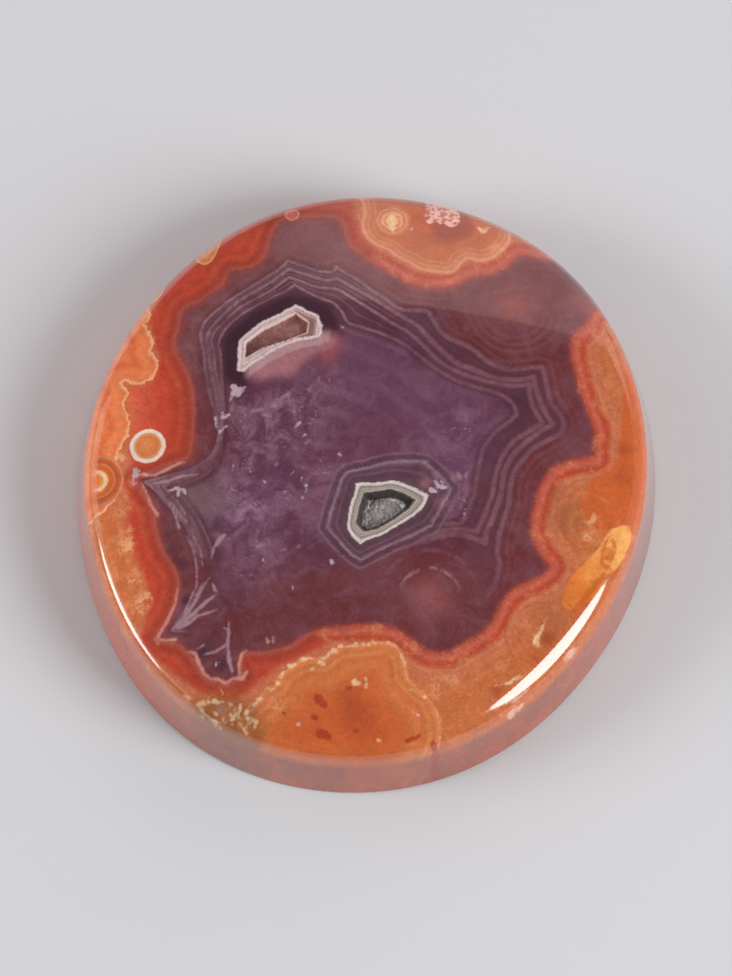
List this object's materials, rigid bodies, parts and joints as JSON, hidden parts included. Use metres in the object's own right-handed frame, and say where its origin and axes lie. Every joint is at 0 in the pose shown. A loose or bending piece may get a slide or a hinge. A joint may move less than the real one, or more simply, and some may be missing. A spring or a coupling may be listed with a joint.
{
  "type": "coyamito agate",
  "caption": "Polished freeform-oval agate cabochon with a low domed face, a rounded shoulder, a flat back and small crystal-lined hollows.",
  "frame": {"origin": "middle of the flat back, at the surface that the stone lies on", "axes": "+Z out of the domed face, +Y along the longer way of the oval towards the end with the larger hollow, +X to the right seen from above"},
  "size_m": [0.0291, 0.0313, 0.006],
  "materials": {
    "agate": "polished",
    "brown_druse": "fine crystals",
    "grey_druse": "fine crystals"
  },
  "bodies": {
    "root": {"agate_stone": "agate", "upper_hollow_crust": "brown_druse", "middle_hollow_crust": "grey_druse"}
  },
  "joints": []
}
